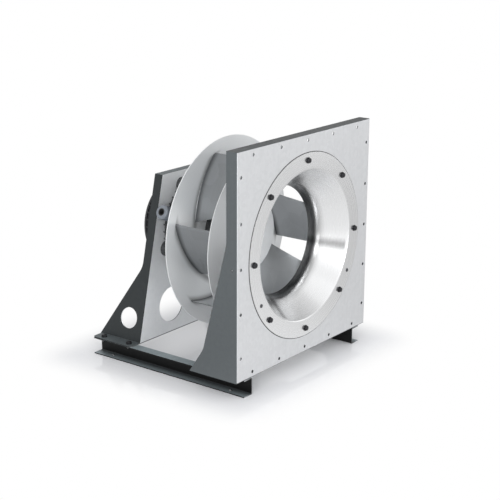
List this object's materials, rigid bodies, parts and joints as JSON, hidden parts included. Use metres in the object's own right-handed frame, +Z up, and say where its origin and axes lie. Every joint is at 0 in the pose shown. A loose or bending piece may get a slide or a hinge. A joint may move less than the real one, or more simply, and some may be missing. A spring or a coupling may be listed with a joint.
{
  "type": "centrifugal fan",
  "caption": "Plug fan: a square inlet panel with a bell nozzle, a backward-curved impeller on an outer-rotor motor and a motor panel with gussets, all on two floor rails.",
  "frame": {"origin": "on the floor under the rails, in the middle of the overall width and depth", "axes": "X to the right as seen from the inlet, Y from the inlet to the rear along the shaft, Z up"},
  "size_m": [0.63, 0.5774, 0.68],
  "materials": {
    "sheet_steel": "galvanised, smooth",
    "rail_steel": "galvanised, smooth",
    "impeller_sheet": "satin",
    "black_casting": "black powder coat",
    "dark_screw": "black oxide",
    "zinc_screw": "zinc plated",
    "gland_plastic": "moulded",
    "seal_rubber": "matt",
    "tap_plastic": "moulded",
    "board": "solder mask",
    "laminations": "stacked sheet",
    "copper_wire": "enamelled",
    "magnet": "nickel plated",
    "bearing_steel": "ground",
    "shaft_steel": "ground"
  },
  "bodies": {
    "frame": {"left_rail": "rail_steel", "right_rail": "rail_steel", "inlet_panel": "sheet_steel", "inlet_nozzle": "sheet_steel", "nozzle_screws": "dark_screw", "nozzle_nuts": "zinc_screw", "pressure_taps": "tap_plastic", "motor_panel": "sheet_steel", "foot_bolts": "zinc_screw", "foot_nuts": "zinc_screw", "motor_housing": "black_casting", "motor_bolts": "dark_screw", "motor_nuts": "zinc_screw", "gland_body": "gland_plastic", "gland_nut": "gland_plastic", "gland_seal": "seal_rubber", "electronics_housing": "black_casting", "electronics_cover": "black_casting", "cover_screws": "zinc_screw", "circuit_board": "board", "stator_core": "laminations", "stator_coils": "copper_wire", "preload_washer": "bearing_steel", "front_bearing_outer": "bearing_steel", "rear_bearing_outer": "bearing_steel"},
    "impeller": {"impeller_backplate": "impeller_sheet", "impeller_shroud": "impeller_sheet", "hub_screws": "zinc_screw", "rotor_bell": "black_casting", "rotor_magnets": "magnet", "motor_shaft": "shaft_steel", "retaining_ring": "shaft_steel", "front_bearing_inner": "bearing_steel", "rear_bearing_inner": "bearing_steel", "blade_1": "impeller_sheet", "blade_2": "impeller_sheet", "blade_3": "impeller_sheet", "blade_4": "impeller_sheet", "blade_5": "impeller_sheet", "blade_6": "impeller_sheet"},
    "front_balls": {"front_bearing_balls": "bearing_steel", "front_bearing_cage": "bearing_steel"},
    "rear_balls": {"rear_bearing_balls": "bearing_steel", "rear_bearing_cage": "bearing_steel"}
  },
  "joints": [
    {"name": "impeller_spin", "type": "hinge", "parent": "frame", "child": "impeller", "pos_m": [0, 0, 0.365], "axis": [0, -1, 0], "continuous": true},
    {"name": "front_balls_roll", "type": "hinge", "parent": "frame", "child": "front_balls", "pos_m": [0, 0, 0.365], "axis": [0, -1, 0], "continuous": true},
    {"name": "rear_balls_roll", "type": "hinge", "parent": "frame", "child": "rear_balls", "pos_m": [0, 0, 0.365], "axis": [0, -1, 0], "continuous": true}
  ],
  "couplings": [
    {"joint": "front_balls_roll", "follows": "impeller_spin", "ratio": 0.396},
    {"joint": "rear_balls_roll", "follows": "impeller_spin", "ratio": 0.396}
  ]
}
